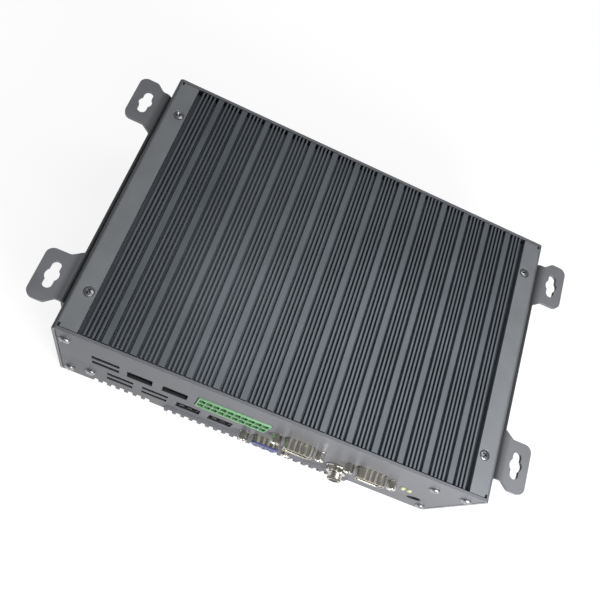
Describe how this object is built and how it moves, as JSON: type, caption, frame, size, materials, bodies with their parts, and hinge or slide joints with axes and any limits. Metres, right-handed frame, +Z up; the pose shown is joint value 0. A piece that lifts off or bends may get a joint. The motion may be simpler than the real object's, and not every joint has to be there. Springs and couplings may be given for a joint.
{
  "type": "fanless industrial computer",
  "caption": "Flat industrial computer in a folded metal case with a finned heat sink lid, connectors in the front wall and side brackets with keyhole ears.",
  "frame": {"origin": "centre of the case's underside", "axes": "+Z up, out of the finned lid; the wall with the connectors faces -Y; +X is to the right of someone who looks at that wall"},
  "size_m": [0.261, 0.1622, 0.08],
  "materials": {
    "anodised_lid": "dark grey anodised extrusion",
    "grey_panel": "semi-gloss grey powder coat",
    "grey_side": "semi-gloss grey powder coat",
    "grey_bracket": "semi-gloss grey powder coat",
    "nickel_screw": "nickel plated",
    "nickel_shell": "nickel plated",
    "gold_contact": "gold plated",
    "power_contact": "nickel plated",
    "black_insert": "moulded",
    "dark_tongue": "moulded",
    "blue_insert": "moulded",
    "green_terminal": "moulded",
    "lamp_plastic": "clear light pipe",
    "board_green": "solder mask",
    "processor_lid": "nickel plated",
    "pad_grey": "soft pad",
    "bare_aluminium": "milled",
    "drive_case": "coated"
  },
  "bodies": {
    "root": {"antenna_connector": "nickel_shell", "antenna_nut": "nickel_shell", "antenna_washer": "nickel_shell", "base_screws": "nickel_screw", "base_tray": "grey_panel", "board_screws": "nickel_screw", "bracket_screws": "nickel_screw", "button_cell": "nickel_shell", "cell_holder": "black_insert", "com_port_1_insulator": "black_insert", "com_port_1_pins": "gold_contact", "com_port_1_shell": "nickel_shell", "com_port_2_insulator": "black_insert", "com_port_2_pins": "gold_contact", "com_port_2_shell": "nickel_shell", "drive_cradle": "nickel_shell", "drive_screws": "nickel_screw", "finned_lid": "anodised_lid", "front_screws": "nickel_screw", "heat_block": "bare_aluminium", "heat_block_screws": "nickel_screw", "io_board": "board_green", "io_board_standoffs": "nickel_screw", "jack_screws": "nickel_screw", "lamps": "lamp_plastic", "lan_insert_1": "black_insert", "lan_insert_2": "black_insert", "lan_insert_3": "black_insert", "lan_insert_4": "black_insert", "lan_shield_1": "nickel_shell", "lan_shield_2": "nickel_shell", "lan_shield_3": "nickel_shell", "lan_shield_4": "nickel_shell", "lid_screws": "nickel_screw", "mainboard": "board_green", "mainboard_standoffs": "nickel_screw", "memory_module": "board_green", "memory_socket": "black_insert", "power_jack": "black_insert", "power_pin": "power_contact", "processor": "processor_lid", "rear_screws": "nickel_screw", "side_panel_left": "grey_side", "side_panel_right": "grey_side", "stack_standoffs": "nickel_screw", "storage_drive": "drive_case", "terminal_header": "green_terminal", "terminal_pins": "gold_contact", "thermal_pad": "pad_grey", "usb_shell_1": "nickel_shell", "usb_shell_2": "nickel_shell", "usb_shell_3": "nickel_shell", "usb_tongues_1": "dark_tongue", "usb_tongues_2": "dark_tongue", "usb_tongues_3": "dark_tongue", "video_port_insulator": "blue_insert", "video_port_shell": "nickel_shell", "wall_bracket_left": "grey_bracket", "wall_bracket_right": "grey_bracket"}
  },
  "joints": []
}
